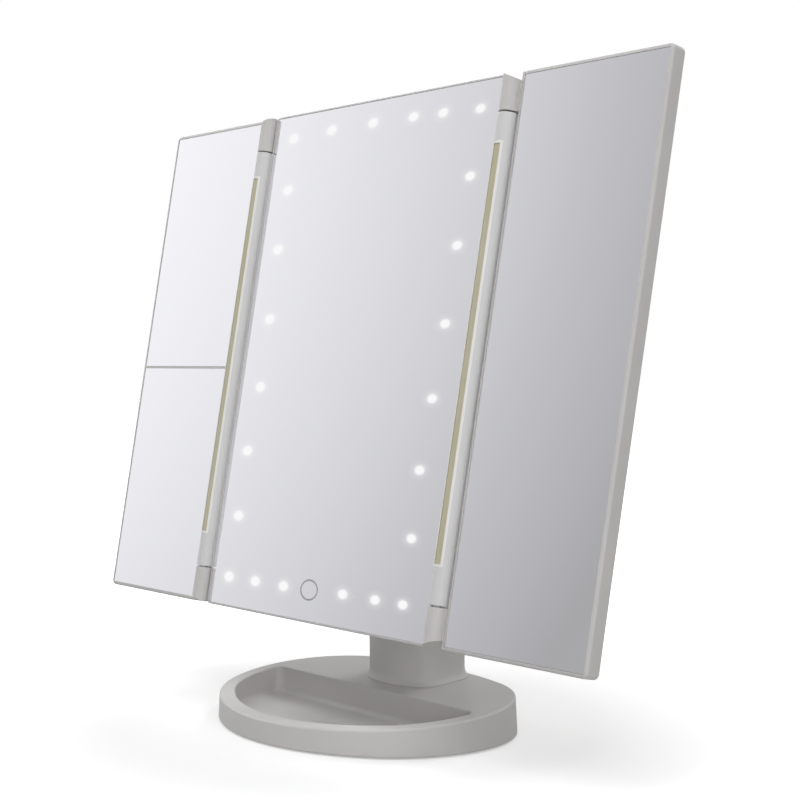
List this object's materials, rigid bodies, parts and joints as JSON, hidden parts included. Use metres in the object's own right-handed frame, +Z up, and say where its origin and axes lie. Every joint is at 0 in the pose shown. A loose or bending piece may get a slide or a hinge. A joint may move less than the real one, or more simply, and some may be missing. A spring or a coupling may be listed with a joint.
{
  "type": "trifold vanity mirror",
  "caption": "Tabletop vanity mirror: a lit centre mirror with two folding side mirrors, on a tilting neck and an oval base with an organiser tray.",
  "frame": {"origin": "centre of the base's footprint, on the surface it stands on", "axes": "+Z up, -Y towards the user (the mirror's front), +X to the user's right"},
  "size_m": [0.345, 0.1128, 0.2848],
  "materials": {
    "shell_plastic": "warm light-grey moulded ABS with a fine satin texture",
    "cover_plastic": "grey moulded ABS, matt",
    "dark_plastic": "dark grey moulded plastic",
    "mirror_glass": "silvered flat glass",
    "steel": "zinc-plated steel",
    "rubber": "soft matt rubber",
    "nylon": "natural nylon",
    "cell_jacket": "plain printed foil jacket",
    "circuit_board": "lacquered circuit board",
    "led": "lit white LED",
    "copper": "copper foil",
    "strip_cream": "cream-yellow moulded diffuser strip, unlit"
  },
  "bodies": {
    "stand": {"base_shell": "shell_plastic", "bottom_cover": "cover_plastic", "ballast_plate": "steel", "rubber_feet": "rubber", "bottom_screws": "steel", "neck_shell": "shell_plastic", "neck_screws": "steel", "battery_holder": "dark_plastic", "battery_cells": "cell_jacket", "battery_contacts": "steel", "usb_socket": "steel", "usb_board": "circuit_board"},
    "battery_door": {"battery_door": "shell_plastic"},
    "centre": {"tilt_bracket": "shell_plastic", "bracket_screws": "steel", "tilt_bolt": "steel", "tilt_nut": "steel", "friction_washers": "nylon", "centre_frame": "shell_plastic", "centre_mirror": "mirror_glass", "centre_back_housing": "shell_plastic", "housing_screws": "steel", "led_board": "circuit_board", "leds": "led", "control_board": "circuit_board", "touch_pad": "copper", "switch_body": "dark_plastic", "left_hinge_tube": "shell_plastic", "right_hinge_tube": "shell_plastic", "left_light_strip": "strip_cream", "right_light_strip": "strip_cream", "left_hinge_pins": "steel", "right_hinge_pins": "steel"},
    "switch_knob": {"switch_knob": "dark_plastic"},
    "left_wing": {"left_wing_frame": "shell_plastic", "left_wing_back": "shell_plastic", "left_mirror_upper": "mirror_glass", "left_mirror_lower": "mirror_glass"},
    "right_wing": {"right_wing_frame": "shell_plastic", "right_wing_back": "shell_plastic", "right_mirror": "mirror_glass"}
  },
  "joints": [
    {"name": "tilt", "type": "hinge", "parent": "stand", "child": "centre", "pos_m": [0, 0.0154, 0.08817], "axis": [-1, 0, 0], "range_deg": [-30, 75]},
    {"name": "left_fold", "type": "hinge", "parent": "centre", "child": "left_wing", "pos_m": [-0.0865, -0.00344, 0.16748], "axis": [0, 0.2011, 0.9796], "range_deg": [0, 180]},
    {"name": "right_fold", "type": "hinge", "parent": "centre", "child": "right_wing", "pos_m": [0.0865, -0.00344, 0.16748], "axis": [0, -0.2011, -0.9796], "range_deg": [0, 180]},
    {"name": "power_switch", "type": "slide", "parent": "centre", "child": "switch_knob", "axis": [1, 0, 0], "range_m": [0, 0.003]},
    {"name": "battery_door_off", "type": "slide", "parent": "stand", "child": "battery_door", "axis": [0, 1, 0], "range_m": [0, 0.025]}
  ]
}
